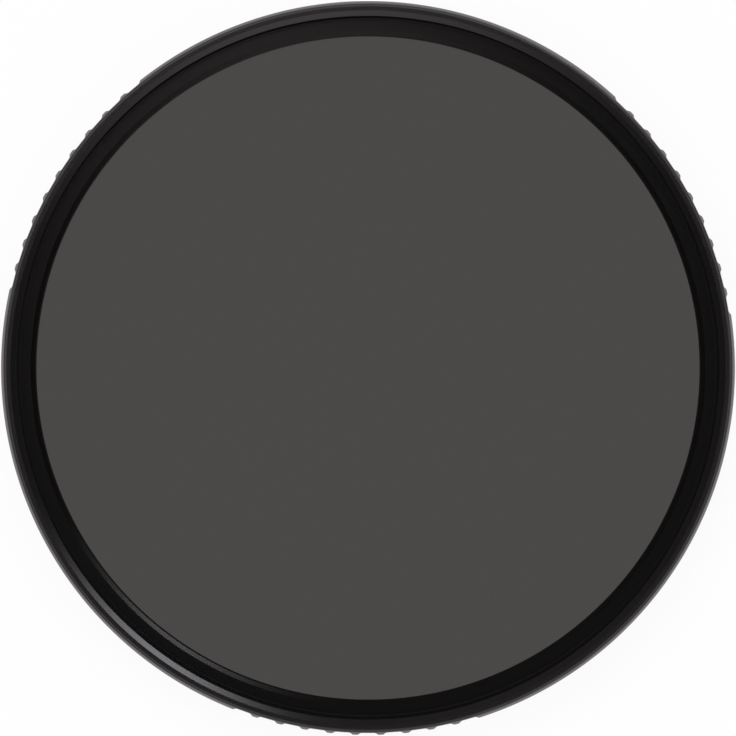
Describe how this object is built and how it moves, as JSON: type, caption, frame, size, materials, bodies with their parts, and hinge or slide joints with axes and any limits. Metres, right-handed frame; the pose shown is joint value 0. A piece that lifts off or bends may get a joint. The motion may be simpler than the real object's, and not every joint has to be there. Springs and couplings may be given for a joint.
{
  "type": "screw-in lens filter",
  "caption": "Round screw-in neutral density filter: dark grey glass in a notched black ring, with an outside thread at the rear and an inside thread at the front.",
  "frame": {"origin": "centre of the rear end face, on the optical axis", "axes": "+Z along the optical axis, out of the front; one of the three grips is centred on -Y"},
  "size_m": [0.0794, 0.0794, 0.0067],
  "materials": {
    "anodised_frame": "black anodised, satin",
    "grey_glass": "polished, neutral grey",
    "anodised_retainer": "black anodised, matt"
  },
  "bodies": {
    "root": {"frame_ring": "anodised_frame", "filter_glass": "grey_glass", "retaining_ring": "anodised_retainer"}
  },
  "joints": []
}
